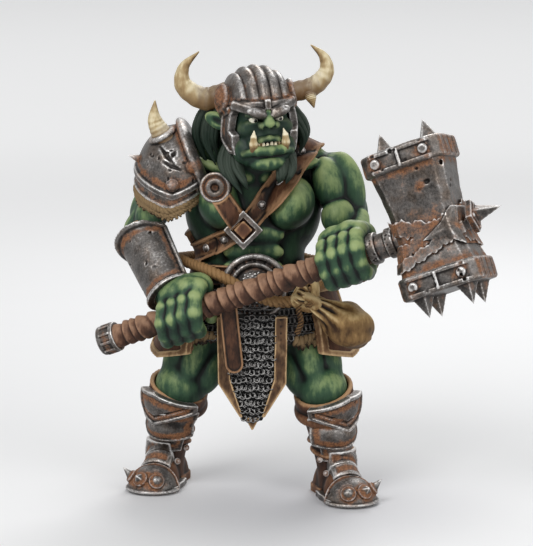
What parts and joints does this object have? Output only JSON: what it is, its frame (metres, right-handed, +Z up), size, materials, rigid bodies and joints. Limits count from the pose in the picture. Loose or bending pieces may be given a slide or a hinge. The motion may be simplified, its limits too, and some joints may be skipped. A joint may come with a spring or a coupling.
{
  "type": "painted miniature figure",
  "caption": "Painted display miniature of a tusked brute in a horned helmet and worn armour, gripping a spiked two-handed hammer across its body; stands free on flat boot soles.",
  "frame": {"origin": "centre of the bounding box's footprint, on the floor under the soles", "axes": "+Z up, -Y to the figure's front, +X to the figure's left"},
  "size_m": [0.077, 0.0554, 0.0899],
  "materials": {
    "skin": "matte hand-painted green skin with dark washes and brushed yellow-green highlights",
    "dark_hair": "matte dark green-grey hair with lighter strands",
    "steel": "dark worn steel paint, dry-brushed silver on edges and stained with rust",
    "leather": "matte brown leather paint with tan edge highlights",
    "tan_leather": "matte ochre-tan hide paint with brown shading",
    "bone": "satin bone paint, streaked brown at the roots",
    "rope": "matte tan cord paint with dark brown wash in the lay",
    "mail": "black paint with silver dry-brushed rings",
    "fur": "matte tan fur and fibre with dark wash"
  },
  "bodies": {
    "root": {"torso": "skin", "right_thigh": "skin", "left_thigh": "skin", "right_arm": "skin", "left_arm": "skin", "right_hand": "skin", "left_hand": "skin", "head": "skin", "hair": "dark_hair", "beard": "dark_hair", "right_knee_plate": "steel", "left_knee_plate": "steel", "right_shin_plate": "steel", "left_shin_plate": "steel", "right_instep_plate": "steel", "left_instep_plate": "steel", "right_toe_cap": "steel", "left_toe_cap": "steel", "right_bracer": "steel", "pauldron": "steel", "pauldron_lame": "steel", "strap_buckle": "steel", "chest_medallion": "steel", "belt_buckle": "steel", "helmet": "steel", "pommel_cap": "steel", "hammer_collar": "steel", "hammer_block": "steel", "top_band": "steel", "bottom_band": "steel", "mid_strap": "steel", "end_spike": "steel", "pelvis": "leather", "right_boot": "leather", "left_boot": "leather", "left_bracer": "leather", "baldric": "leather", "chest_strap": "leather", "belt": "leather", "apron_border": "leather", "belt_tongue": "leather", "right_tasset": "leather", "left_tasset": "leather", "back_flap": "leather", "haft": "leather", "lower_grip": "leather", "upper_grip": "leather", "pouch": "tan_leather", "right_horn": "bone", "left_horn": "bone", "horn_spur": "bone", "right_tusk": "bone", "left_tusk": "bone", "pauldron_horn": "bone", "rope_belt": "rope", "mail_apron": "mail", "mail_skirt": "mail", "arm_fur": "fur"}
  },
  "joints": []
}
